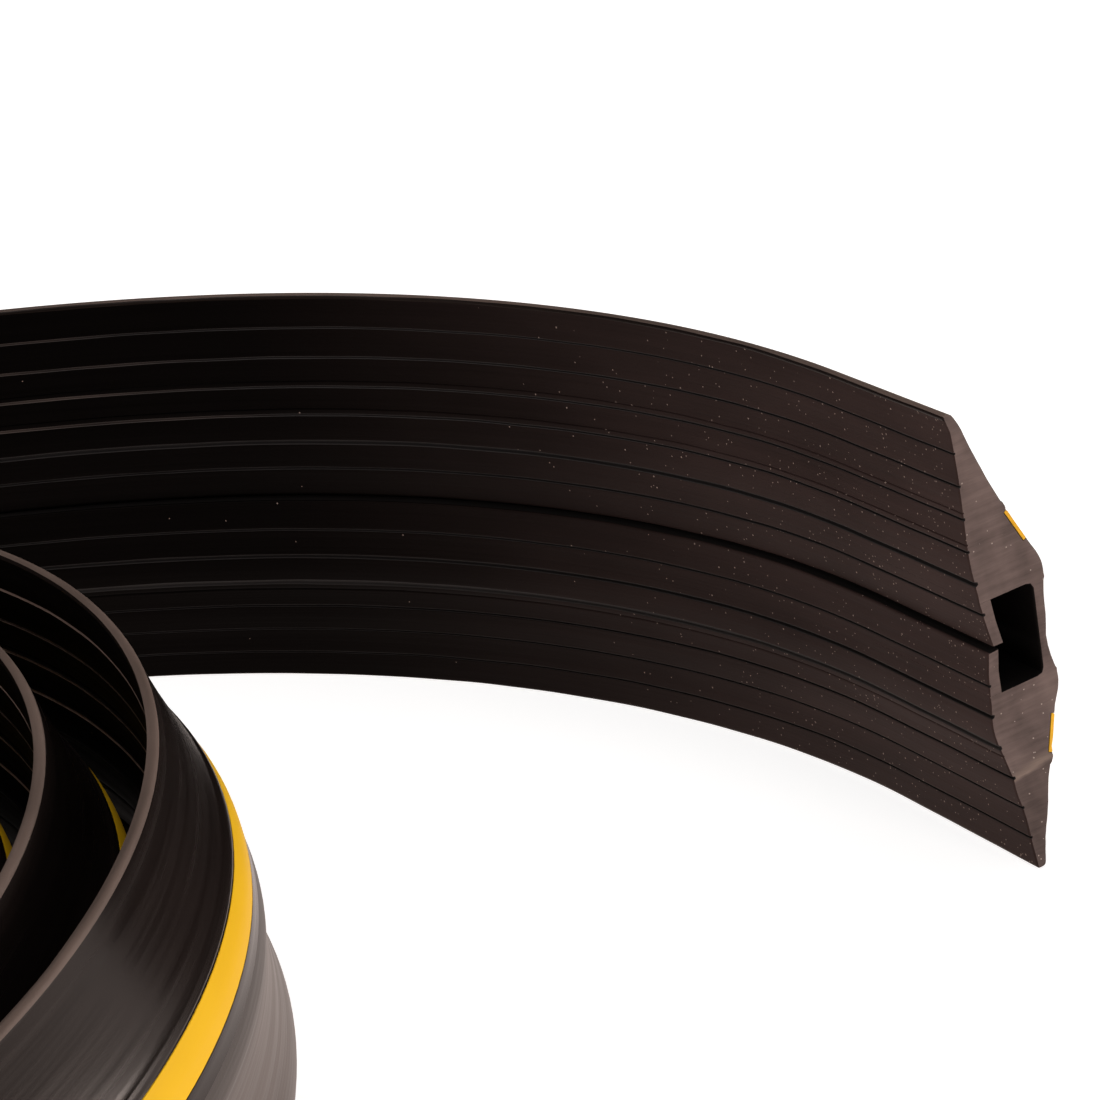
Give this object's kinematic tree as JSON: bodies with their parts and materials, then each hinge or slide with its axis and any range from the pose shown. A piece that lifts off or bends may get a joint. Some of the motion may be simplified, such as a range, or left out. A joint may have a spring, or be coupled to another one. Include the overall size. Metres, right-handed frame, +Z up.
{
  "type": "cable protector ramp",
  "caption": "Low rubber floor strip with ramped sides, yellow stripes and a slit cable channel, standing on edge in a loose coil with a flexible free end.",
  "frame": {"origin": "on the floor under the middle of the bounding box", "axes": "+Z up, across the strip's width; the free end's last straight piece runs along Y with its cut face towards -Y; the strip's crown faces out of the coil"},
  "size_m": [0.422, 0.3556, 0.068],
  "materials": {
    "black_rubber": "matte extruded rubber, dusty, faint lengthwise lines",
    "yellow_stripe": "matte yellow rubber, co-extruded flush with the ramp"
  },
  "bodies": {
    "coil": {"coil_seg_01": "black_rubber", "coil_seg_02": "black_rubber", "coil_seg_03": "black_rubber", "coil_seg_04": "black_rubber", "coil_seg_05": "black_rubber", "coil_seg_06": "black_rubber", "coil_seg_07": "black_rubber", "coil_seg_08": "black_rubber", "coil_seg_09": "black_rubber", "coil_seg_10": "black_rubber", "coil_seg_11": "black_rubber", "coil_seg_12": "black_rubber", "coil_seg_13": "black_rubber", "coil_seg_14": "black_rubber", "stripe_lower_coil": "yellow_stripe", "stripe_upper_coil": "yellow_stripe"},
    "tail_5": {"tail_seg_5": "black_rubber", "stripe_lower_5": "yellow_stripe", "stripe_upper_5": "yellow_stripe"},
    "tail_4": {"tail_seg_4": "black_rubber", "stripe_lower_4": "yellow_stripe", "stripe_upper_4": "yellow_stripe"},
    "tail_3": {"tail_seg_3": "black_rubber", "stripe_lower_3": "yellow_stripe", "stripe_upper_3": "yellow_stripe"},
    "tail_2": {"tail_seg_2": "black_rubber", "stripe_lower_2": "yellow_stripe", "stripe_upper_2": "yellow_stripe"},
    "tail_1": {"end_piece": "black_rubber", "tail_seg_1": "black_rubber", "stripe_lower_1": "yellow_stripe", "stripe_upper_1": "yellow_stripe"},
    "lip_lower": {"lip_lower": "black_rubber"},
    "lip_upper": {"lip_upper": "black_rubber"}
  },
  "joints": [
    {"name": "uncoil_5", "type": "hinge", "parent": "coil", "child": "tail_5", "pos_m": [0.09679, 0.14203, 0.034], "axis": [0, 0, 1], "range_deg": [0, 9], "stiffness_Nm_per_rad": 0.3},
    {"name": "uncoil_4", "type": "hinge", "parent": "tail_5", "child": "tail_4", "pos_m": [0.13392, 0.11214, 0.034], "axis": [0, 0, 1], "range_deg": [0, 9.7], "stiffness_Nm_per_rad": 0.3},
    {"name": "uncoil_3", "type": "hinge", "parent": "tail_4", "child": "tail_3", "pos_m": [0.16561, 0.07624, 0.034], "axis": [0, 0, 1], "range_deg": [0, 11], "stiffness_Nm_per_rad": 0.3},
    {"name": "uncoil_2", "type": "hinge", "parent": "tail_3", "child": "tail_2", "pos_m": [0.19, 0.03478, 0.034], "axis": [0, 0, 1], "range_deg": [0, 11.6], "stiffness_Nm_per_rad": 0.3},
    {"name": "uncoil_1", "type": "hinge", "parent": "tail_2", "child": "tail_1", "pos_m": [0.20551, -0.01078, 0.034], "axis": [0, 0, 1], "range_deg": [0, 12.3], "stiffness_Nm_per_rad": 0.3},
    {"name": "lip_lower_flex", "type": "hinge", "parent": "tail_1", "child": "lip_lower", "pos_m": [0.20195, -0.0738, 0.027], "axis": [0, 1, 0], "range_deg": [0, 35], "stiffness_Nm_per_rad": 0.014},
    {"name": "lip_upper_flex", "type": "hinge", "parent": "tail_1", "child": "lip_upper", "pos_m": [0.20195, -0.0738, 0.041], "axis": [0, -1, 0], "range_deg": [0, 28], "stiffness_Nm_per_rad": 0.014}
  ]
}
